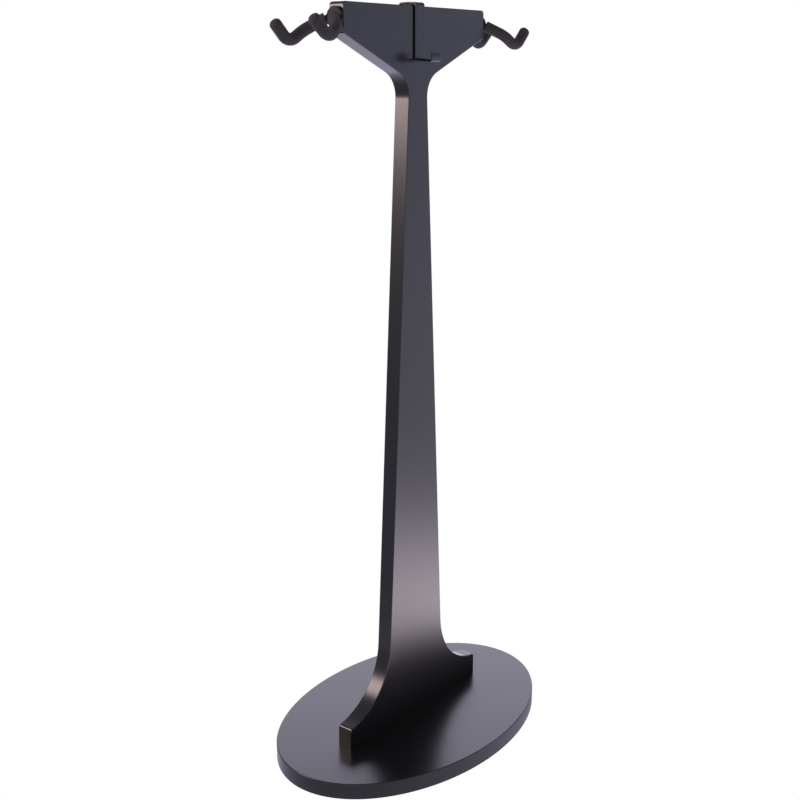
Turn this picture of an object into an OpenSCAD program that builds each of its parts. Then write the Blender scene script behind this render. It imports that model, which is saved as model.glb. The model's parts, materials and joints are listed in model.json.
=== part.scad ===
// Double-sided neck-hook display stand: an oval base, a tall flat upright with a wide head,
// a padded swivelling yoke on each end of the head and a strap hook over its middle.
// Millimetres. X runs along the width of the head, Y through the board, Z is up.
// The origin is on the floor, under the middle of the base.

/* [Stand] */
// Height of the top edge of the board above the floor
stand_h = 1109; // [1000:1:1150]
// Thickness of the upright board
board_t = 25; // [20:1:28]
// Width of the head of the board
head_w = 318.4; // [280:0.2:330]
// Height of the vertical end faces of the head
head_end_h = 40; // [32:1:44]
// How far the underside of the head falls from its ends to the neck
head_fall = 59.2; // [50:0.1:64]
// Width of the neck, where the stem meets the head
neck_w = 40.4; // [32:0.2:44]
// Width of the stem at the bottom of its taper, where the foot flares
stem_w = 139.4; // [120:0.2:145]
// Width of the foot of the board
foot_w = 322; // [310:1:330]
// Height of the toes of the foot above the base
toe_h = 33.4; // [30:0.2:42]
// Radius under the head, at the neck
neck_r = 37; // [25:1:45]
// Radius of the flare between the stem and the foot
flare_r = 105; // [80:1:105]

/* [Base] */
// Length of the oval base
base_w = 514; // [480:1:560]
// Depth of the oval base
base_d = 336; // [320:1:380]
// Thickness of the base
base_t = 25; // [18:1:28]
// Height of the gap that the rubber feet leave under the base
base_gap = 2; // [1:0.5:3]

/* [Yokes] */
// Distance of the swivel axis below the top edge of the board
pivot_drop = 20; // [18:1:22]
// Diameter of the hub disc
hub_d = 28; // [24:1:30]
// Thickness of the hub disc
hub_t = 4; // [3:0.5:5]
// Diameter of the steel rod
rod_d = 8; // [6:0.5:9]
// Outside diameter of the padded sleeves
sleeve_d = 16; // [13:0.5:17]
// Distance of each arm from the middle of the yoke, at its elbow
arm_y = 34.7; // [30:0.1:40]
// Reach of the elbows beyond the end of the board
elbow_x = 56.5; // [48:0.5:60]
// Drop of the elbows below the swivel axis
elbow_drop = 30.5; // [20:0.5:32]
// Reach of the ends of the rod beyond the end of the board
rod_end_x = 76.8; // [74:0.1:80]
// Distance of the ends of the rod from the middle of the yoke
rod_end_y = 33.4; // [30:0.1:38]
// Drop of the ends of the rod below the swivel axis
rod_end_drop = 10.9; // [6:0.1:14]
// Angle at which the left yoke rests on its swivel
left_turn = -4; // [-30:1:30]
// Angle at which the right yoke rests on its swivel
right_turn = 2; // [-30:1:30]

/* [Strap hook] */
// Width of the strap
strap_w = 21; // [16:1:26]
// Thickness of the strap
strap_t = 2.6; // [2:0.1:3]
// Drop of the front leg below the top edge of the board
strap_drop = 73.1; // [60:0.1:80]
// Depth of the trough of the hook, between its front leg and its lip
trough_d = 26.2; // [18:0.2:30]
// How far the floor of the trough falls towards the lip
trough_fall = 2.4; // [0:0.2:4]
// Height of the lip of the hook, above the underside of the trough
lip_h = 12.3; // [9:0.1:16]

/* [Hidden] */
$fn = 64;

lacquer = [0.16, 0.16, 0.18];
steel = [0.62, 0.62, 0.64];
brass = [0.75, 0.62, 0.32];
rubber = [0.10, 0.09, 0.09];
nylon = [0.88, 0.87, 0.83];
beech = [0.78, 0.62, 0.42];

end_x = head_w / 2;
pivot_z = stand_h - pivot_drop;
base_top = base_gap + base_t;

// Rise of the corner behind the flare, above the toes
flare_rise = 16.6;

// Outline of the right half of the board as [x, z, corner radius], from the foot to the top
board_corners = [
    [foot_w / 2, base_top, 1],
    [foot_w / 2, base_top + toe_h, 6],
    [stem_w / 2, base_top + toe_h + flare_rise, flare_r],
    [neck_w / 2, stand_h - head_end_h - head_fall, neck_r],
    [end_x, stand_h - head_end_h, 2],
    [end_x, stand_h, 5]
];

// Bolts, inserts and dowels that join the board to the base
bolt_d = 8;
bolt_len = 42;
bolt_head_d = 14;
bolt_head_h = 4.4;
socket_d = 5.8;
socket_h = 2.4;
washer_d = 17;
washer_t = 1.6;
recess_d = 19;
recess_h = 7;
bolt_xs = [-120, -40, 40, 120];
insert_d = 12;
insert_len = 26;
dowel_d = 8;
dowel_len = 26;
dowel_sunk = 11;
dowel_xs = [-80, 80];

// Rubber feet, let into the underside of the base
pad_d = 26;
pad_t = 4;
pad_spots = [[-215, 0], [215, 0], [-120, -118], [120, -118], [-120, 118], [120, 118]];

// Swivel cartridge in each end of the head, measured from the end face
housing_d = 14;
housing_len = 38;
stud_d = 9;
stud_len = 42;
ring_d = 13;
ring_t = 1.6;
pocket_len = 46;
thrust_d = 24;
thrust_t = 0.8;
running_fit = 0.05;
slip_gap = 0.1;

// Hub of the yoke: a boss on the disc carries the rod
boss_d = 13;
boss_end = 8.5;

// Rod of the yoke: its middle lies across the hub, its arms sweep out, down and up again
bow_x = 10;
bow_y = 2.2;
bow_rise = 1;
bow_r = 4.2;
sweep_x = 32.7;
sweep_y = 28.5;
sweep_drop = 14.3;
sweep_r = 31;
elbow_r = 15.7;
arm_corners = [
    [bow_x, bow_y, bow_rise, bow_r],
    [sweep_x, sweep_y, -sweep_drop, sweep_r],
    [elbow_x, arm_y, -elbow_drop, elbow_r],
    [rod_end_x, rod_end_y, -rod_end_drop, 0]
];
sleeve_start = 6;
tip_len = 9;
tip_r = 5;
tip_step = 22.5;
bend_step = 9;
rod_sides = 16;

// Strap hook, in section across the board: its legs stand off by a pad, its crown is arched
pad_thick = 0.35;
pad_gap = 0.05;
strap_y = board_t / 2 + pad_thick + pad_gap;
strap_leg = 40;
shoulder_rise = 2.4;
crown_rise = 0.6;
crown_r = 30;
shoulder_r = 3;
bend_r = 2.8;
pad_h = 30;
pad_inset = 1.5;
pad_below = 6;
top_pad_w = 16;
top_pad_t = 2.2;

function unit(v) = v / norm(v);

// Tangent length that a corner of radius r takes off each side at b
function cut_len(a, b, c, r) = r * tan(acos(unit(b - a) * unit(c - b)) / 2);

function arc_points(centre, r, from, to, steps) = [
    for (i = [0 : steps]) centre + r * [cos(from + (to - from) * i / steps),
                                        sin(from + (to - from) * i / steps)]
];

// One corner of a flat outline, rounded to radius r
function rounded(a, b, c, r) =
    let (u = unit(b - a), w = unit(c - b), turn = u[0] * w[1] - u[1] * w[0],
         side = sign(turn), start = b - u * cut_len(a, b, c, r),
         centre = start + side * r * [-u[1], u[0]],
         from = atan2(start[1] - centre[1], start[0] - centre[0]),
         sweep = acos(u * w), steps = max(3, ceil(sweep / 5)))
    arc_points(centre, r, from, from + side * sweep, steps);

function flat(p) = [p[0], p[1]];

// A closed outline of [x, y, radius] corners with every corner rounded
function rounded_outline(corners) = [
    for (i = [0 : len(corners) - 1])
        each rounded(flat(corners[(i + len(corners) - 1) % len(corners)]), flat(corners[i]),
                     flat(corners[(i + 1) % len(corners)]), corners[i][2])
];

function reversed(list) = [for (i = [len(list) - 1 : -1 : 0]) list[i]];

// The same arm on the side of the yoke that front gives: -1 towards -Y, 1 towards +Y
function arm_of(front) = [for (c = arm_corners) [c[0], front * c[1], c[2], c[3]]];

function mirrored(corners) = [
    for (i = [len(corners) - 1 : -1 : 0]) [-corners[i][0], corners[i][1], corners[i][2]]
];

function place(p) = [p[0], p[1], p[2]];

// Points along a bend of radius r, for a rod that runs from a towards b and on towards c
function bend_points(a, b, c, r) =
    let (u = unit(b - a), w = unit(c - b), inward = unit(w - u * (u * w)), sweep = acos(u * w),
         centre = b - u * cut_len(a, b, c, r) + inward * r, steps = ceil(sweep / bend_step))
    [for (i = [0 : steps]) centre + r * (u * sin(sweep * i / steps) - inward * cos(sweep * i / steps))];

// Centre line through corners of [x, y, z, bend radius]; the two ends have no bend
function centre_line(corners) =
    let (last = len(corners) - 1)
    [
        place(corners[0]),
        for (i = [1 : last - 1])
            each bend_points(place(corners[i - 1]), place(corners[i]), place(corners[i + 1]),
                             corners[i][3]),
        place(corners[last])
    ];

// A ring of points of radius r round c, square to the direction t
function ring(c, t, r) =
    let (u = unit(cross(t, [0, 0, 1])), v = cross(u, t))
    [for (i = [0 : rod_sides - 1])
        c + r * (cos(360 * i / rod_sides) * u + sin(360 * i / rod_sides) * v)];

// One ring at every point of a centre line
function rings_along(line, r) =
    let (last = len(line) - 1)
    [for (i = [0 : last]) ring(line[i], unit(line[min(i + 1, last)] - line[max(i - 1, 0)]), r)];

// A closed solid through a chain of rings, capped flat at both ends
module skin(rings) {
    n = rod_sides;
    last = len(rings) - 1;
    polyhedron(
        points = [for (r = rings) each r],
        faces = concat(
            [[for (i = [0 : n - 1]) i]],
            [for (k = [0 : last - 1], i = [0 : n - 1])
                [k * n + i, (k + 1) * n + i, (k + 1) * n + (i + 1) % n, k * n + (i + 1) % n]],
            [[for (i = [n - 1 : -1 : 0]) last * n + i]]
        )
    );
}

// Puts a part, drawn with the end face at x = 0, on the right (1) or left (-1) end
module at_end(side) {
    translate([side * end_x, 0, pivot_z])
        mirror([side < 0 ? 1 : 0, 0, 0])
            children();
}

// The same for a part of a yoke, turned on its swivel as the yoke rests
module on_swivel(side) {
    translate([side * end_x, 0, pivot_z])
        rotate([side < 0 ? left_turn : right_turn, 0, 0])
            mirror([side < 0 ? 1 : 0, 0, 0])
                children();
}

module disc_x(x, d, h) {
    translate([x, 0, 0])
        rotate([0, 90, 0])
            cylinder(d = d, h = h);
}

module base_plate() {
    color(lacquer)
        difference() {
            translate([0, 0, base_gap])
                linear_extrude(base_t)
                    polygon([for (a = [0 : 3 : 357]) [base_w / 2 * cos(a), base_d / 2 * sin(a)]]);
            for (x = bolt_xs) {
                translate([x, 0, -1])
                    cylinder(d = bolt_d + 0.6, h = base_top + 2);
                translate([x, 0, -1])
                    cylinder(d = recess_d, h = base_gap + recess_h + 1);
            }
            for (x = dowel_xs)
                translate([x, 0, base_top - dowel_sunk])
                    cylinder(d = dowel_d, h = dowel_sunk + 1);
            for (spot = pad_spots)
                translate([spot[0], spot[1], -1])
                    cylinder(d = pad_d, h = pad_t + 1);
        }
}

module upright_board() {
    color(lacquer)
        difference() {
            rotate([90, 0, 0])
                linear_extrude(board_t, center = true)
                    polygon(rounded_outline(concat(board_corners, mirrored(board_corners))));
            for (x = bolt_xs)
                translate([x, 0, base_top - 1])
                    cylinder(d = insert_d, h = insert_len + 2);
            for (x = dowel_xs)
                translate([x, 0, base_top - 1])
                    cylinder(d = dowel_d, h = dowel_len - dowel_sunk + 1);
            for (side = [-1, 1])
                at_end(side)
                    disc_x(-pocket_len, housing_d, pocket_len + 1);
        }
}

module rubber_feet() {
    color(rubber)
        for (spot = pad_spots)
            translate([spot[0], spot[1], 0])
                cylinder(d = pad_d, h = pad_t);
}

module base_bolts() {
    head_top = base_gap + recess_h - washer_t;
    color(steel)
        for (x = bolt_xs)
            translate([x, 0, head_top])
                difference() {
                    union() {
                        translate([0, 0, -bolt_head_h])
                            cylinder(d = bolt_head_d, h = bolt_head_h);
                        cylinder(d = bolt_d, h = bolt_len);
                    }
                    translate([0, 0, -bolt_head_h - 1])
                        cylinder(d = socket_d, h = socket_h + 1, $fn = 6);
                }
}

module base_washers() {
    color(steel)
        for (x = bolt_xs)
            translate([x, 0, base_gap + recess_h - washer_t])
                difference() {
                    cylinder(d = washer_d, h = washer_t);
                    translate([0, 0, -1])
                        cylinder(d = bolt_d + 0.4, h = washer_t + 2);
                }
}

module foot_inserts() {
    color(brass)
        for (x = bolt_xs)
            translate([x, 0, base_top])
                difference() {
                    cylinder(d = insert_d, h = insert_len);
                    translate([0, 0, -1])
                        cylinder(d = bolt_d + 2 * running_fit, h = insert_len + 2);
                }
}

module foot_dowels() {
    color(beech)
        for (x = dowel_xs)
            translate([x, 0, base_top - dowel_sunk])
                cylinder(d = dowel_d, h = dowel_len);
}

module swivel_housing(side) {
    color(brass)
        at_end(side)
            difference() {
                disc_x(-housing_len, housing_d, housing_len);
                disc_x(-housing_len - 1, stud_d + 2 * running_fit, housing_len + 2);
            }
}

module thrust_washer(side) {
    color(nylon)
        at_end(side)
            difference() {
                disc_x(0, thrust_d, thrust_t);
                disc_x(-1, stud_d + 2 * running_fit, thrust_t + 2);
            }
}

module pivot_stud(side) {
    color(steel)
        on_swivel(side)
            disc_x(-stud_len, stud_d, stud_len + thrust_t + slip_gap);
}

module retaining_ring(side) {
    color(steel)
        on_swivel(side)
            difference() {
                disc_x(-housing_len - slip_gap - ring_t, ring_d, ring_t);
                disc_x(-housing_len - slip_gap - ring_t - 1, stud_d, ring_t + 2);
            }
}

module hub_disc(side) {
    color(lacquer)
        on_swivel(side)
            difference() {
                union() {
                    disc_x(thrust_t + slip_gap, hub_d, hub_t);
                    disc_x(thrust_t + slip_gap, boss_d, boss_end - thrust_t - slip_gap);
                }
                translate([bow_x, 0, bow_rise])
                    rotate([90, 0, 0])
                        cylinder(d = rod_d, h = 2 * hub_d, center = true);
            }
}

module yoke_rod(side) {
    color(steel)
        on_swivel(side)
            skin(rings_along(centre_line(concat(reversed(arm_of(-1)), arm_of(1))), rod_d / 2));
}

// The padded tube over one arm: front is -1 for the arm towards -Y, 1 for the other
module sleeve(side, front) {
    arm = arm_of(front);
    start = place(arm[0]) + unit(place(arm[1]) - place(arm[0])) * sleeve_start;
    line = centre_line([[start[0], start[1], start[2], 0], arm[1], arm[2], arm[3]]);
    tip = line[len(line) - 1];
    along = unit(tip - place(arm[2]));
    rounded_tip = [for (a = [0 : tip_step : 90])
        ring(tip + along * (tip_len - tip_r + tip_r * sin(a)), along,
             sleeve_d / 2 - tip_r + tip_r * cos(a))];
    outer = concat(rings_along(line, sleeve_d / 2), rounded_tip);
    bore = rings_along(concat(line, [tip + along * slip_gap]), rod_d / 2 + slip_gap);
    color(rubber)
        on_swivel(side)
            skin(concat(reversed(outer), bore));
}

module strap_hook() {
    mid = strap_y + strap_t / 2;
    shoulder = stand_h + shoulder_rise + strap_t / 2;
    leg_end = stand_h - strap_drop + strap_t / 2;
    bottom = leg_end - trough_fall;
    lip_y = mid + strap_t + trough_d;
    path = [
        [mid, stand_h - strap_leg, 0],
        [mid, shoulder, shoulder_r],
        [0, shoulder + crown_rise, crown_r],
        [-mid, shoulder, shoulder_r],
        [-mid, leg_end, bend_r],
        [-lip_y, bottom, bend_r],
        [-lip_y, bottom - strap_t / 2 + lip_h, 0]
    ];
    color(lacquer)
        rotate([90, 0, 90])
            linear_extrude(strap_w, center = true)
                polygon(ribbon(path, strap_t / 2));
}

// Points of a path of [x, y, radius] corners, moved to its left by the distance shift
function shifted_path(path, shift) = [
    for (i = [0 : len(path) - 1])
        let (b = flat(path[i]))
        if (i == 0)
            let (u = unit(flat(path[1]) - b)) b + shift * [-u[1], u[0]]
        else if (i == len(path) - 1)
            let (u = unit(b - flat(path[i - 1]))) b + shift * [-u[1], u[0]]
        else
            let (a = flat(path[i - 1]), c = flat(path[i + 1]), u = unit(b - a), w = unit(c - b),
                 side = sign(u[0] * w[1] - u[1] * w[0]), r = path[i][2],
                 start = b - u * cut_len(a, b, c, r), centre = start + side * r * [-u[1], u[0]],
                 from = atan2(start[1] - centre[1], start[0] - centre[0]))
            each arc_points(centre, r - side * shift, from, from + side * acos(u * w), 9)
];

function ribbon(path, half) = concat(shifted_path(path, -half), reversed(shifted_path(path, half)));

module strap_pads() {
    pad_w = strap_w - 2 * pad_inset;
    color(rubber) {
        for (side = [-1, 1])
            translate([0, side * (strap_y - pad_thick / 2), stand_h - pad_below - pad_h / 2])
                cube([pad_w, pad_thick, pad_h], center = true);
        translate([0, 0, stand_h + pad_gap + top_pad_t / 2])
            cube([pad_w, top_pad_w, top_pad_t], center = true);
    }
}

base_plate();
upright_board();
rubber_feet();
base_bolts();
base_washers();
foot_inserts();
foot_dowels();
swivel_housing(-1);  // left_swivel_housing
thrust_washer(-1);  // left_thrust_washer
pivot_stud(-1);  // left_pivot_stud
retaining_ring(-1);  // left_retaining_ring
hub_disc(-1);  // left_hub_disc
yoke_rod(-1);  // left_yoke_rod
sleeve(-1, -1);  // left_front_sleeve
sleeve(-1, 1);  // left_back_sleeve
swivel_housing(1);  // right_swivel_housing
thrust_washer(1);  // right_thrust_washer
pivot_stud(1);  // right_pivot_stud
retaining_ring(1);  // right_retaining_ring
hub_disc(1);  // right_hub_disc
yoke_rod(1);  // right_yoke_rod
sleeve(1, -1);  // right_front_sleeve
sleeve(1, 1);  // right_back_sleeve
strap_hook();
strap_pads();
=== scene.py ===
"""Looks of the tall display stand: a lacquered board on an oval base, padded yokes, a strap hook.

Lengths are in metres, in the frame's axes: X runs along the head, Y through the board, Z is up.
"""
import json
import math

import bmesh
import bpy
from mathutils import Matrix, Vector


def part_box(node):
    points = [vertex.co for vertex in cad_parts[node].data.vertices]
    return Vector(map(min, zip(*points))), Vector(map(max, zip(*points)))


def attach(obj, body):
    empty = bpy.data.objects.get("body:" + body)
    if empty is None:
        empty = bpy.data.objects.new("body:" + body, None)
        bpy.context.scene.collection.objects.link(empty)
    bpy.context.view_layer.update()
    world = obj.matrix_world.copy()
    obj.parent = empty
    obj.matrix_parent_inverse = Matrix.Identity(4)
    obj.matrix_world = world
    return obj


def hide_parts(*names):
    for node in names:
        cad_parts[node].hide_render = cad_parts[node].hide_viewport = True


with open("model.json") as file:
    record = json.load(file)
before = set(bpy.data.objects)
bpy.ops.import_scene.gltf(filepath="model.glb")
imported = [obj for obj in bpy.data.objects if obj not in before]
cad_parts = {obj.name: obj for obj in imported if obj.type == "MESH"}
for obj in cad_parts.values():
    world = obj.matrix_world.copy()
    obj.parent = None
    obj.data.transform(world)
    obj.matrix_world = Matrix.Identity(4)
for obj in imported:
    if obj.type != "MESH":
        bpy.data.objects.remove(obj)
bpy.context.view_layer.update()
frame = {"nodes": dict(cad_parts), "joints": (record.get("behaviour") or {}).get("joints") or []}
nodes = frame["nodes"]
joints = {joint["name"]: joint for joint in frame["joints"]}

MM = 0.001
MERGE_DISTANCE = 1e-7
NORMAL_WEIGHT = 60
OUTLINE_STEP = math.radians(3)
LINE_STEP = math.radians(4)


# ---------------------------------------------------------------- mesh tools

def full_turn(count):
    """Evenly spaced angles round a circle."""
    return [math.tau * i / count for i in range(count)]


def quarter_turn(steps):
    """Angles from nothing to a quarter turn."""
    return [math.pi / 2 * k / steps for k in range(steps + 1)]


def bend(a, b, c, radius, step):
    """Points of the bend of that radius at b, on the way from a to c."""
    u = (b - a).normalized()
    w = (c - b).normalized()
    sweep = u.angle(w)
    inward = (w - u * u.dot(w)).normalized()
    centre = b - u * radius * math.tan(sweep / 2) + inward * radius
    count = max(2, math.ceil(sweep / step))
    angles = [sweep * i / count for i in range(count + 1)]
    return [centre + radius * (u * math.sin(t) - inward * math.cos(t)) for t in angles]


def rounded_loop(corners):
    """A closed outline of (point, radius) corners, with every corner rounded."""
    points = [Vector(p) for p, _ in corners]
    loop = []
    for i, (_, radius) in enumerate(corners):
        after = points[(i + 1) % len(points)]
        loop += bend(points[i - 1], points[i], after, radius, OUTLINE_STEP)
    return loop


def rounded_path(corners, step=LINE_STEP):
    """An open line of (point, radius) corners, with every inner corner rounded."""
    points = [Vector(p) for p, _ in corners]
    line = [points[0]]
    for i in range(1, len(points) - 1):
        line += bend(points[i - 1], points[i], points[i + 1], corners[i][1], step)
    return line + [points[-1]]


def new_piece(name, bm, body, material, replaced):
    """Turns a bmesh into a smooth piece that rides a body and stands for CAD nodes."""
    bmesh.ops.remove_doubles(bm, verts=bm.verts, dist=MERGE_DISTANCE)
    bmesh.ops.recalc_face_normals(bm, faces=bm.faces)
    for face in bm.faces:
        face.smooth = True
    mesh = bpy.data.meshes.new(name)
    bm.to_mesh(mesh)
    bm.free()
    piece = bpy.data.objects.new(name, mesh)
    bpy.context.scene.collection.objects.link(piece)
    mesh.materials.append(material)
    weighted = piece.modifiers.new("weighted_normals", "WEIGHTED_NORMAL")
    weighted.weight = NORMAL_WEIGHT
    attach(piece, body)
    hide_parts(*replaced)
    return piece


def outline_normals(loop):
    """Outward unit normals of a closed outline, one at each point."""
    count = len(loop)
    area = sum(loop[i - 1].x * loop[i].y - loop[i].x * loop[i - 1].y for i in range(count))
    side = 1 if area > 0 else -1
    normals = []
    for i in range(count):
        along = (loop[(i + 1) % count] - loop[i - 1]).normalized()
        normals.append(side * Vector((along.y, -along.x, 0)))
    return normals


def add_rings(bm, rings, uv=None):
    """Skins a list of closed rings of points and caps both ends; uv is a layer and its rows."""
    made = [[bm.verts.new(p) for p in ring] for ring in rings]
    for k in range(len(made) - 1):
        count = len(made[k])
        for i in range(count):
            j = (i + 1) % count
            face = bm.faces.new((made[k][i], made[k][j], made[k + 1][j], made[k + 1][i]))
            if uv is not None:
                layer, rows = uv
                corners = ((i, k), (i + 1, k), (i + 1, k + 1), (i, k + 1))
                for loop, (column, row) in zip(face.loops, corners):
                    loop[layer].uv = (column / count, rows[row])
    bm.faces.new(made[0])
    bm.faces.new(made[-1])


def slab(bm, loop, half, edge, place, steps=5):
    """A flat solid with that outline and rounded rims; place turns (u, v, depth) into a point."""
    normals = outline_normals(loop)
    rims = [(-half + edge * (1 - math.cos(t)), edge * (1 - math.sin(t)))
            for t in quarter_turn(steps)]
    rims += [(-depth, inset) for depth, inset in reversed(rims)]
    rings = []
    for depth, inset in rims:
        ring = [p - n * inset for p, n in zip(loop, normals)]
        rings.append([place(p.x, p.y, depth) for p in ring])
    add_rings(bm, rings)


def lathe(bm, profile, place, count=72):
    """Spins a profile of (height, radius); place turns (height, x, y) into a point."""
    rings = []
    for height, radius in profile:
        rings.append([place(height, radius * math.cos(t), radius * math.sin(t))
                      for t in full_turn(count)])
    add_rings(bm, rings)


def ring_at(centre, along, radius, count=48):
    """A ring of points square to a direction."""
    u = along.cross(Vector((0, 0, 1))).normalized()
    v = u.cross(along)
    return [centre + radius * (math.cos(t) * u + math.sin(t) * v) for t in full_turn(count)]


def directions(line):
    """The direction of a line at each of its points."""
    last = len(line) - 1
    return [(line[min(i + 1, last)] - line[max(i - 1, 0)]).normalized() for i in range(last + 1)]


# ---------------------------------------------------------------- materials

def new_material(name, **values):
    """A Principled material with these values on its sockets, its node tree and its shader."""
    material = bpy.data.materials.new(name)
    material.use_nodes = True
    tree = material.node_tree
    shader = tree.nodes["Principled BSDF"]
    for socket, value in values.items():
        shader.inputs[socket.replace("_", " ")].default_value = value
    return material, tree, shader


def coordinates(tree, kind="Object", scale=(1, 1, 1)):
    """Texture coordinates, stretched by scale."""
    source = tree.nodes.new("ShaderNodeTexCoord")
    mapping = tree.nodes.new("ShaderNodeMapping")
    mapping.inputs["Scale"].default_value = scale
    tree.links.new(source.outputs[kind], mapping.inputs["Vector"])
    return mapping.outputs["Vector"]


def noise(tree, vector, scale, detail=3.0, roughness=0.5):
    """The factor of a noise texture."""
    node = tree.nodes.new("ShaderNodeTexNoise")
    node.inputs["Scale"].default_value = scale
    node.inputs["Detail"].default_value = detail
    node.inputs["Roughness"].default_value = roughness
    tree.links.new(vector, node.inputs["Vector"])
    return node.outputs["Fac"]


def spread(tree, factor, low, high, start=0.3, end=0.7):
    """Maps a factor from start..end onto low..high."""
    node = tree.nodes.new("ShaderNodeMapRange")
    node.inputs["From Min"].default_value = start
    node.inputs["From Max"].default_value = end
    node.inputs["To Min"].default_value = low
    node.inputs["To Max"].default_value = high
    tree.links.new(factor, node.inputs["Value"])
    return node.outputs["Result"]


def shades(tree, factor, dark, light):
    """A colour between dark and light."""
    node = tree.nodes.new("ShaderNodeValToRGB")
    node.color_ramp.elements[0].color = (*dark, 1)
    node.color_ramp.elements[1].color = (*light, 1)
    node.color_ramp.elements[0].position = 0.3
    node.color_ramp.elements[1].position = 0.7
    tree.links.new(factor, node.inputs["Fac"])
    return node.outputs["Color"]


def bumps(tree, shader, *layers):
    """Adds bump layers of (height, strength, distance) to a shader."""
    normal = None
    for height, strength, distance in layers:
        node = tree.nodes.new("ShaderNodeBump")
        node.inputs["Strength"].default_value = strength
        node.inputs["Distance"].default_value = distance
        tree.links.new(height, node.inputs["Height"])
        if normal is not None:
            tree.links.new(normal, node.inputs["Normal"])
        normal = node.outputs["Normal"]
    tree.links.new(normal, shader.inputs["Normal"])


def lacquer_material():
    """Satin black lacquer: faint orange peel, cloudy gloss and a little fine dust."""
    material, tree, shader = new_material("satin_black_lacquer", Metallic=0.0, IOR=1.5)
    space = coordinates(tree)
    cloud = noise(tree, space, 5.0, 4.0)
    specks = noise(tree, space, 900.0, 2.0)
    colour = shades(tree, cloud, (0.0016, 0.0016, 0.0021), (0.0024, 0.0024, 0.0030))
    tree.links.new(colour, shader.inputs["Base Color"])
    tree.links.new(spread(tree, cloud, 0.255, 0.27), shader.inputs["Roughness"])
    peel = noise(tree, space, 140.0, 2.0)
    bumps(tree, shader, (peel, 0.03, 0.0005), (specks, 0.05, 0.0001))
    return material


def powder_coat_material(name, low, high, specular):
    """Black powder coat on steel, coarser than the lacquer; its roughness runs low to high."""
    material, tree, shader = new_material(name, Metallic=0.0, IOR=1.5)
    shader.inputs["Specular IOR Level"].default_value = specular
    space = coordinates(tree)
    grain = noise(tree, space, 1400.0, 2.0)
    cloud = noise(tree, space, 18.0, 3.0)
    colour = shades(tree, cloud, (0.0030, 0.0030, 0.0036), (0.0045, 0.0045, 0.0052))
    tree.links.new(colour, shader.inputs["Base Color"])
    tree.links.new(spread(tree, cloud, low, high), shader.inputs["Roughness"])
    bumps(tree, shader, (grain, 0.25, 0.00008))
    return material


def sleeve_material():
    """Matt black-brown padded tube with fine lengthwise streaks and a light bloom."""
    material, tree, shader = new_material("padded_sleeve", Metallic=0.0, IOR=1.45)
    shader.inputs["Specular IOR Level"].default_value = 0.15
    shader.inputs["Sheen Weight"].default_value = 0.03
    shader.inputs["Sheen Roughness"].default_value = 0.5
    streak_space = coordinates(tree, "UV", (60, 12, 1))
    streaks = noise(tree, streak_space, 1.0, 4.0, 0.6)
    pores = noise(tree, coordinates(tree), 1100.0, 2.0)
    bloom = noise(tree, coordinates(tree), 70.0, 4.0)
    colour = shades(tree, bloom, (0.0290, 0.0254, 0.0270), (0.0419, 0.0365, 0.0385))
    tree.links.new(colour, shader.inputs["Base Color"])
    tree.links.new(spread(tree, streaks, 0.68, 0.8), shader.inputs["Roughness"])
    bumps(tree, shader, (streaks, 0.35, 0.00025), (pores, 0.4, 0.00012))
    return material


def rubber_material():
    """Plain matt rubber of the feet and the liner pads."""
    material, tree, shader = new_material("matt_rubber", Metallic=0.0, IOR=1.5)
    space = coordinates(tree)
    grain = noise(tree, space, 800.0, 3.0)
    colour = shades(tree, noise(tree, space, 60.0), (0.012, 0.012, 0.012), (0.024, 0.023, 0.022))
    tree.links.new(colour, shader.inputs["Base Color"])
    tree.links.new(spread(tree, grain, 0.6, 0.8), shader.inputs["Roughness"])
    bumps(tree, shader, (grain, 0.5, 0.00015))
    return material


def metal_material(name, dark, light, low, high):
    """A machined or plated metal with turning marks; its roughness runs low to high."""
    material, tree, shader = new_material(name, Metallic=1.0)
    space = coordinates(tree)
    cloud = noise(tree, space, 220.0, 3.0)
    marks = noise(tree, coordinates(tree, "Object", (400, 8, 8)), 1.0, 2.0)
    tree.links.new(shades(tree, cloud, dark, light), shader.inputs["Base Color"])
    tree.links.new(spread(tree, cloud, low, high), shader.inputs["Roughness"])
    bumps(tree, shader, (marks, 0.2, 0.00005))
    return material


def nylon_material():
    """Black nylon of the thrust washers."""
    material, tree, shader = new_material("black_nylon", Metallic=0.0, IOR=1.53)
    space = coordinates(tree)
    cloud = noise(tree, space, 300.0, 3.0)
    tree.links.new(shades(tree, cloud, (0.020, 0.020, 0.021), (0.030, 0.030, 0.032)),
                   shader.inputs["Base Color"])
    tree.links.new(spread(tree, cloud, 0.38, 0.5), shader.inputs["Roughness"])
    bumps(tree, shader, (cloud, 0.2, 0.00005))
    return material


def beech_material():
    """Beech dowel with a fine straight grain."""
    material, tree, shader = new_material("beech", Metallic=0.0, IOR=1.45)
    grain = noise(tree, coordinates(tree, "Object", (500, 500, 25)), 1.0, 5.0, 0.6)
    tree.links.new(shades(tree, grain, (0.42, 0.25, 0.12), (0.66, 0.47, 0.28)),
                   shader.inputs["Base Color"])
    tree.links.new(spread(tree, grain, 0.5, 0.65), shader.inputs["Roughness"])
    bumps(tree, shader, (grain, 0.3, 0.0001))
    return material


lacquer = lacquer_material()
powder_coat = powder_coat_material("satin_powder_coat", 0.28, 0.34, 0.5)
matt_coat = powder_coat_material("matt_powder_coat", 0.50, 0.58, 0.2)
sleeve_rubber = sleeve_material()
rubber = rubber_material()
zinc = metal_material("zinc_plate", (0.46, 0.47, 0.49), (0.62, 0.62, 0.64), 0.28, 0.42)
brass = metal_material("turned_brass", (0.62, 0.45, 0.18), (0.78, 0.60, 0.30), 0.25, 0.4)
nylon = nylon_material()
beech = beech_material()


def paint(material, *names):
    """Gives CAD nodes that stay a finished material."""
    for name in names:
        nodes[name].data.materials.clear()
        nodes[name].data.materials.append(material)


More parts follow.
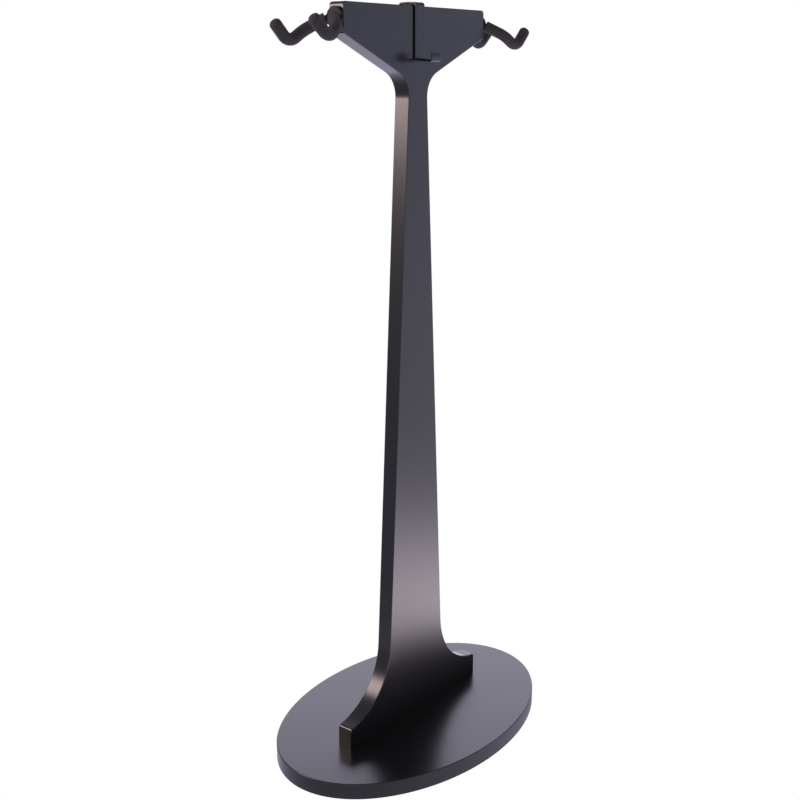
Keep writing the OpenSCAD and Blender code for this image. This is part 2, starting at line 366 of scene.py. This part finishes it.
# ---------------------------------------------------------------- base and board

base_low, base_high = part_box("base_plate")
board_low, board_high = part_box("upright_board")

BASE_EDGE = 1.6 * MM
BOARD_EDGE = 1.1 * MM
FOOT_R = 1 * MM
TOE_R = 6 * MM
HEAD_LOW_R = 2 * MM
HEAD_TOP_R = 5 * MM
FOOT_SINK = 0.7 * MM
HEAD_W = 318.4 * MM
HEAD_END_H = 40 * MM
HEAD_FALL = 59.2 * MM
NECK_W = 40.4 * MM
STEM_W = 139.4 * MM
TOE_H = 33.4 * MM
FLARE_RISE = 16.6 * MM
NECK_R = 37 * MM
FLARE_R = 105 * MM


def make_base():
    """The oval base with a softened rim."""
    middle = (base_low + base_high) / 2
    half = (base_high - base_low) / 2
    loop = [Vector((half.x * math.cos(t), half.y * math.sin(t), 0)) for t in full_turn(320)]
    bm = bmesh.new()
    slab(bm, loop, half.z, BASE_EDGE, lambda u, v, d: middle + Vector((u, v, d)), steps=6)
    new_piece("oval_base", bm, "stand", lacquer, ["base_plate"])


def make_board():
    """The upright board: foot, flare, tapered stem, neck and head."""
    top = board_high.z
    foot = board_low.z
    # The softened lower edge goes a hair into the base, so that only a fine joint shows.
    right = [
        ((board_high.x, foot - FOOT_SINK, 0), FOOT_R),
        ((board_high.x, foot + TOE_H, 0), TOE_R),
        ((STEM_W / 2, foot + TOE_H + FLARE_RISE, 0), FLARE_R),
        ((NECK_W / 2, top - HEAD_END_H - HEAD_FALL, 0), NECK_R),
        ((HEAD_W / 2, top - HEAD_END_H, 0), HEAD_LOW_R),
        ((HEAD_W / 2, top, 0), HEAD_TOP_R),
    ]
    left = [((-p[0], p[1], 0), radius) for p, radius in reversed(right)]
    bm = bmesh.new()
    slab(bm, rounded_loop(right + left), board_high.y, BOARD_EDGE,
         lambda u, v, d: Vector((u, d, v)))
    new_piece("upright", bm, "stand", lacquer, ["upright_board"])


make_base()
make_board()


# ---------------------------------------------------------------- yokes

ROD_R = 4 * MM
SLEEVE_R = 8 * MM
TIP_LEN = 9 * MM
TIP_R = 5 * MM
SLEEVE_START = 6 * MM
BORE_R = 4.1 * MM
RIM = 0.8 * MM
HUB_R = 14 * MM
HUB_NEAR = 0.9 * MM
HUB_FAR = 4.9 * MM
HUB_BACK_R = 6 * MM
HUB_BEVEL = 0.5 * MM
HUB_RIM = 1.3 * MM
FILLET = 1.6 * MM
BOSS_R = 6.5 * MM
BOSS_END = 8.5 * MM
# Corners of one arm, from the end of the board and the swivel axis, each with its bend radius
ARM = [
    ((10 * MM, 2.2 * MM, 1 * MM), 4.2 * MM),
    ((32.7 * MM, 28.5 * MM, -14.3 * MM), 31 * MM),
    ((56.5 * MM, 34.7 * MM, -30.5 * MM), 15.7 * MM),
    ((76.8 * MM, 33.4 * MM, -10.9 * MM), 0),
]
# How far each yoke is turned about its swivel at rest
YOKE_TURN = {"left": math.radians(-4), "right": math.radians(2)}


def yoke_place(side):
    """The matrix that puts a yoke part, drawn with the end face at x = 0, in its place."""
    sign = -1 if side == "left" else 1
    pivot = Vector(joints[side + "_yoke_swivel"]["pos_m"])
    turn = Matrix.Rotation(YOKE_TURN[side], 4, "X")
    return Matrix.Translation(pivot) @ turn @ Matrix.Diagonal((sign, 1, 1, 1))


def mirrored_arm(front):
    """The corners of one arm: front is -1 for the arm towards -Y, 1 for the other."""
    return [((p[0], front * p[1], p[2]), radius) for p, radius in ARM]


def make_rod(side):
    """The bent steel rod of a yoke, in one piece through the hub."""
    line = rounded_path(list(reversed(mirrored_arm(-1))) + mirrored_arm(1))
    bm = bmesh.new()
    add_rings(bm, [ring_at(p, d, ROD_R, 32) for p, d in zip(line, directions(line))])
    bm.transform(yoke_place(side))
    new_piece(side + "_bent_rod", bm, side + "_yoke", matt_coat,
              [side + "_yoke_rod"])


def outer_rim(height, radius):
    """Profile points of a rounded outer edge, which ends in a face at that height."""
    return [(height - HUB_RIM + HUB_RIM * math.sin(t), radius - HUB_RIM + HUB_RIM * math.cos(t))
            for t in quarter_turn(6)]


def make_hub(side):
    """The hub disc with its boss and the fillet between them."""
    profile = [
        (HUB_NEAR, HUB_BACK_R),
        (HUB_NEAR, HUB_R - HUB_BEVEL),
        (HUB_NEAR + HUB_BEVEL, HUB_R),
    ]
    profile += outer_rim(HUB_FAR, HUB_R)
    profile += [(HUB_FAR + FILLET - FILLET * math.cos(t), BOSS_R + FILLET - FILLET * math.sin(t))
                for t in quarter_turn(6)]
    profile += outer_rim(BOSS_END, BOSS_R)
    bm = bmesh.new()
    lathe(bm, profile, lambda h, x, y: Vector((h, x, y)))
    bm.transform(yoke_place(side))
    new_piece(side + "_hub", bm, side + "_yoke", matt_coat,
              [side + "_hub_disc"])


def make_sleeve(side, front):
    """The padded tube on one arm, open at the hub and closed by a rounded tip."""
    arm = mirrored_arm(front)
    first = Vector(arm[0][0])
    start = first + (Vector(arm[1][0]) - first).normalized() * SLEEVE_START
    line = rounded_path([(start, 0)] + arm[1:])
    along = directions(line)
    tip = line[-1]
    out = along[-1]
    # The open end is softened by three rings, then come the tube and its rounded tip.
    rings = []
    for t in (0, 0.5, 1.0):
        centre = start + along[0] * RIM * (1 - math.cos(t))
        rings.append(ring_at(centre, along[0], SLEEVE_R - RIM * (1 - math.sin(t))))
    rings += [ring_at(p, d, SLEEVE_R) for p, d in zip(line[1:], along[1:])]
    for t in quarter_turn(8):
        centre = tip + out * (TIP_LEN - TIP_R + TIP_R * math.sin(t))
        rings.append(ring_at(centre, out, SLEEVE_R - TIP_R + TIP_R * math.cos(t)))
    bore = [ring_at(p, d, BORE_R) for p, d in zip(line, along)]
    rings = list(reversed(bore)) + rings
    rows = [0.0]
    for a, b in zip(rings, rings[1:]):
        rows.append(rows[-1] + (a[0] - b[0]).length / (math.tau * SLEEVE_R))
    bm = bmesh.new()
    uv = bm.loops.layers.uv.new("along_the_tube")
    add_rings(bm, rings, uv=(uv, rows))
    bm.transform(yoke_place(side))
    word = "front" if front < 0 else "back"
    piece = new_piece(f"{side}_{word}_padded_tube", bm, side + "_yoke", sleeve_rubber,
                      [f"{side}_{word}_sleeve"])


for side in ("left", "right"):
    make_rod(side)
    make_hub(side)
    for front in (-1, 1):
        make_sleeve(side, front)


# ---------------------------------------------------------------- strap hook

strap_low, strap_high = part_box("strap_hook")
STRAP_T = 2.6 * MM
STRAP_EDGE = 1.2 * MM
BEND_R = 2.8 * MM
SHOULDER_RISE = 2.4 * MM
SHOULDER_R = 3 * MM
CROWN_RISE = 0.6 * MM
CROWN_R = 30 * MM
BACK_LEG = 40 * MM
TROUGH_FALL = 2.4 * MM
LIP_RISE = 11 * MM


def make_strap_hook():
    """The flat steel saddle with its trough and lip, drawn in section across the board."""
    mid = strap_high.y - STRAP_T / 2
    shoulder = board_high.z + SHOULDER_RISE + STRAP_T / 2
    bottom = strap_low.z + STRAP_T / 2
    lip_y = strap_low.y + STRAP_T / 2
    corners = [
        ((mid, board_high.z - BACK_LEG, 0), 0),
        ((mid, shoulder, 0), SHOULDER_R),
        ((0, shoulder + CROWN_RISE, 0), CROWN_R),
        ((-mid, shoulder, 0), SHOULDER_R),
        ((-mid, bottom + TROUGH_FALL, 0), BEND_R),
        ((lip_y, bottom, 0), BEND_R),
        ((lip_y, bottom + LIP_RISE, 0), 0),
    ]
    line = rounded_path(corners, math.radians(6))
    sides = [Vector((-d.y, d.x, 0)) * STRAP_T / 2 for d in directions(line)]
    loop = [p + s for p, s in zip(line, sides)]
    loop += [p - s for p, s in zip(reversed(line), reversed(sides))]
    bm = bmesh.new()
    slab(bm, loop, strap_high.x, STRAP_EDGE, lambda u, v, d: Vector((d, u, v)), steps=6)
    new_piece("strap_saddle", bm, "strap_hook", powder_coat, ["strap_hook"])


make_strap_hook()


# ---------------------------------------------------------------- feet and fixings

# The six round pads: two under the ends of the oval, four under its sides
PAD_R = 13 * MM
PAD_EDGE = 0.9 * MM
END_PAD_X = 215 * MM
SIDE_PAD_X = 120 * MM
SIDE_PAD_Y = 118 * MM


def make_feet():
    """Six rubber feet with a softened rim; each stands in its recess in the base."""
    low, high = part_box("rubber_feet")
    spots = [(sx * END_PAD_X, 0) for sx in (-1, 1)]
    spots += [(sx * SIDE_PAD_X, sy * SIDE_PAD_Y) for sx in (-1, 1) for sy in (-1, 1)]
    profile = [(PAD_EDGE - PAD_EDGE * math.cos(t), PAD_R - PAD_EDGE + PAD_EDGE * math.sin(t))
               for t in quarter_turn(5)]
    profile.append((high.z - low.z, PAD_R))
    bm = bmesh.new()
    for x, y in spots:
        lathe(bm, profile, lambda h, u, v: Vector((x + u, y + v, low.z + h)), count=48)
    new_piece("round_feet", bm, "stand", rubber, ["rubber_feet"])


make_feet()
paint(rubber, "strap_pads")
paint(zinc, "base_bolts", "base_washers")
paint(brass, "foot_inserts")
paint(beech, "foot_dowels")
for side in ("left", "right"):
    paint(brass, side + "_swivel_housing")
    paint(nylon, side + "_thrust_washer")
    paint(zinc, side + "_pivot_stud", side + "_retaining_ring")


# ---------------------------------------------------------------- floor, light and camera

# Brightness and colour of the floor and the walls, as the object sees them
FLOOR_R = 12.0
FLOOR_COLOUR = (0.93, 0.90, 1.15)
# The floor brightens from left to right, between these two places along X
FLOOR_LEFT = 0.48
FLOOR_RIGHT = 1.1
FLOOR_FROM_X = -0.5
FLOOR_TO_X = 0.1
POOL_COLOUR = (1.0, 0.85, 0.92)
POOL_AT = (0.30, -0.25, 0)
POOL_R = 0.48
POOL_LIGHT = 4.15
FAR_POOL_AT = (0.85, 1.2, 0)
FAR_POOL_R = 0.6
FAR_POOL_LIGHT = 0.3
SHADE_AT = (0.25, -0.12, 0)
SHADE_R = 0.2
SHADE_DEPTH = -0.7
# The pool is held dark round the base, a painted contact shadow of the base, and comes in full
# between these multiples of the base's outline
BASE_STRETCH = (1 / base_high.x, 1 / base_high.y, 1)
POOL_DARK_TO = 1.45
POOL_FULL_FROM = 1.85
# Each wall band is full up to one height and gone at the other, as sines of its elevation
WALL_COLOUR = (0.40, 0.40, 0.44)
BAND_FULL = 0.1
BAND_TOP = 0.35
RIGHT_BAND = (0.42, 0.46, 0.70)
RIGHT_TOWARDS = (0.79, -0.61, 0.0)
RIGHT_EDGE = (0.3, 0.95)
NEAR_BAND = (2.6, 2.4, 2.4)
NEAR_TOWARDS = (-0.93, -0.37, 0.0)
NEAR_EDGE = (0.80, 0.98)
CAMERA_AT = (-1.3989, -1.0862, 1.0149)
CAMERA_TILT = math.radians(-14.98)
CAMERA_HEADING = math.radians(-51.65)
# The lens and its sensor are in millimetres
CAMERA_LENS = 54.46
CAMERA_SENSOR = 36


def node_math(tree, operation, first, second):
    """The result of a maths node; the second operand is a number or another output."""
    node = tree.nodes.new("ShaderNodeMath")
    node.operation = operation
    tree.links.new(first, node.inputs[0])
    if isinstance(second, (int, float)):
        node.inputs[1].default_value = second
    else:
        tree.links.new(second, node.inputs[1])
    return node.outputs["Value"]


def vector_value(tree, operation, vector, other):
    """A scalar made from a vector and a constant vector."""
    node = tree.nodes.new("ShaderNodeVectorMath")
    node.operation = operation
    node.inputs[1].default_value = other
    tree.links.new(vector, node.inputs[0])
    return node.outputs["Value"]


def smooth_step(tree, value, low, high, start, end):
    """Maps start..end onto low..high along a smooth step."""
    result = spread(tree, value, low, high, start, end)
    result.node.interpolation_type = "SMOOTHSTEP"
    return result


def add_shader(tree, kind, colour, strength, total=None):
    """A glow of a colour and strength, added to the shader made so far."""
    glow = tree.nodes.new(kind)
    glow.inputs["Color"].default_value = (*colour, 1)
    if isinstance(strength, (int, float)):
        glow.inputs["Strength"].default_value = strength
    else:
        tree.links.new(strength, glow.inputs["Strength"])
    if total is None:
        return glow.outputs[0]
    both = tree.nodes.new("ShaderNodeAddShader")
    tree.links.new(total, both.inputs[0])
    tree.links.new(glow.outputs[0], both.inputs[1])
    return both.outputs["Shader"]


def mix_shader(tree, factor, first, second):
    """Changes from the first shader to the second."""
    mix = tree.nodes.new("ShaderNodeMixShader")
    tree.links.new(factor, mix.inputs["Fac"])
    tree.links.new(first, mix.inputs[1])
    tree.links.new(second, mix.inputs[2])
    return mix.outputs["Shader"]


def white_to_camera(tree, kind, total):
    """The camera sees plain white, everything else sees the shader."""
    seen = add_shader(tree, kind, (1, 1, 1), 1.0)
    path = tree.nodes.new("ShaderNodeLightPath")
    return mix_shader(tree, path.outputs["Is Camera Ray"], total, seen)


def constant(tree, value):
    """A number as a node output."""
    node = tree.nodes.new("ShaderNodeValue")
    node.outputs["Value"].default_value = value
    return node.outputs["Value"]


def light_pool(tree, place, at, radius, glow):
    """A round pool of light on the floor, which fades out from its middle."""
    away = vector_value(tree, "DISTANCE", place, at)
    faded = node_math(tree, "MULTIPLY", node_math(tree, "POWER", away, 2.0), -1 / radius ** 2)
    return node_math(tree, "MULTIPLY", node_math(tree, "POWER", constant(tree, math.e), faded),
                     glow)


def make_floor():
    """A pale floor, plain white to the camera, that lights the object with painted pools of light
    and shade, among them a painted contact shadow round the base; clear from below.
    """
    mesh = bpy.data.meshes.new("floor")
    bm = bmesh.new()
    bmesh.ops.create_circle(bm, cap_ends=True, segments=128, radius=FLOOR_R)
    bm.to_mesh(mesh)
    bm.free()
    floor = bpy.data.objects.new("floor", mesh)
    bpy.context.scene.collection.objects.link(floor)
    material = bpy.data.materials.new("pale_floor")
    material.use_nodes = True
    tree = material.node_tree
    tree.nodes.clear()
    place = coordinates(tree)
    rim = vector_value(tree, "LENGTH", coordinates(tree, "Object", BASE_STRETCH), (0, 0, 0))
    # clear is nought round the base and one away from it: a painted contact shadow of the base,
    # cut out of the pool of light.
    clear = smooth_step(tree, rim, 0.0, 1.0, POOL_DARK_TO, POOL_FULL_FROM)
    across = smooth_step(tree, vector_value(tree, "DOT_PRODUCT", place, (1, 0, 0)),
                         FLOOR_LEFT, FLOOR_RIGHT, FLOOR_FROM_X, FLOOR_TO_X)
    shade = light_pool(tree, place, SHADE_AT, SHADE_R, SHADE_DEPTH)
    total = add_shader(tree, "ShaderNodeEmission", FLOOR_COLOUR,
                       node_math(tree, "ADD", across, shade))
    near = light_pool(tree, place, POOL_AT, POOL_R, POOL_LIGHT)
    total = add_shader(tree, "ShaderNodeEmission", POOL_COLOUR,
                       node_math(tree, "MULTIPLY", near, clear), total)
    far = light_pool(tree, place, FAR_POOL_AT, FAR_POOL_R, FAR_POOL_LIGHT)
    total = add_shader(tree, "ShaderNodeEmission", FLOOR_COLOUR, far, total)
    total = white_to_camera(tree, "ShaderNodeEmission", total)
    side = tree.nodes.new("ShaderNodeNewGeometry")
    clear_below = tree.nodes.new("ShaderNodeBsdfTransparent")
    total = mix_shader(tree, side.outputs["Backfacing"], total, clear_below.outputs["BSDF"])
    output = tree.nodes.new("ShaderNodeOutputMaterial")
    tree.links.new(total, output.inputs["Surface"])
    mesh.materials.append(material)


def area_light(name, at, towards, size, glow, colour):
    """A soft rectangular panel of that brightness, which the camera doesn't see."""
    data = bpy.data.lights.new(name, "AREA")
    data.shape = "RECTANGLE"
    data.size, data.size_y = size
    data.energy = glow * math.pi * size[0] * size[1]
    data.color = colour
    light = bpy.data.objects.new(name, data)
    light.location = at
    light.rotation_euler = (Vector(towards) - Vector(at)).to_track_quat("-Z", "Y").to_euler()
    light.visible_camera = False
    bpy.context.scene.collection.objects.link(light)


def make_world():
    """Dim studio walls with a bright low band to the right and one to the near left."""
    world = bpy.data.worlds.new("studio")
    bpy.context.scene.world = world
    world.use_nodes = True
    tree = world.node_tree
    tree.nodes.clear()
    source = tree.nodes.new("ShaderNodeTexCoord")
    direction = source.outputs["Generated"]
    height = vector_value(tree, "DOT_PRODUCT", direction, (0, 0, 1))
    low = smooth_step(tree, height, 1.0, 0.0, BAND_FULL, BAND_TOP)
    total = add_shader(tree, "ShaderNodeBackground", WALL_COLOUR, 1.0)
    bands = ((RIGHT_BAND, RIGHT_TOWARDS, RIGHT_EDGE), (NEAR_BAND, NEAR_TOWARDS, NEAR_EDGE))
    for colour, towards, edge in bands:
        facing = vector_value(tree, "DOT_PRODUCT", direction, towards)
        side = smooth_step(tree, facing, 0.0, 1.0, *edge)
        total = add_shader(tree, "ShaderNodeBackground", colour,
                           node_math(tree, "MULTIPLY", low, side), total)
    total = white_to_camera(tree, "ShaderNodeBackground", total)
    output = tree.nodes.new("ShaderNodeOutputWorld")
    tree.links.new(total, output.inputs["Surface"])


def make_camera():
    """The camera at the reference viewing angle."""
    data = bpy.data.cameras.new("camera")
    data.lens = CAMERA_LENS
    data.sensor_width = CAMERA_SENSOR
    camera = bpy.data.objects.new("camera", data)
    camera.location = CAMERA_AT
    camera.rotation_euler = (math.pi / 2 + CAMERA_TILT, 0, CAMERA_HEADING)
    bpy.context.scene.collection.objects.link(camera)
    bpy.context.scene.camera = camera


make_floor()
make_world()
area_light("left_softbox", at=(-1.51, 1.27, 1.48), towards=(0.0, 0.0, 1.0), size=(0.9, 0.92),
           glow=12.5, colour=(1.0, 0.78, 0.77))
area_light("back_panel", at=(2.05, 1.60, 1.19), towards=(0.0, 0.0, 0.6), size=(3.2, 1.7),
           glow=2.3, colour=(0.82, 0.80, 1.0))
make_camera()
bpy.context.scene.view_settings.view_transform = "Standard"
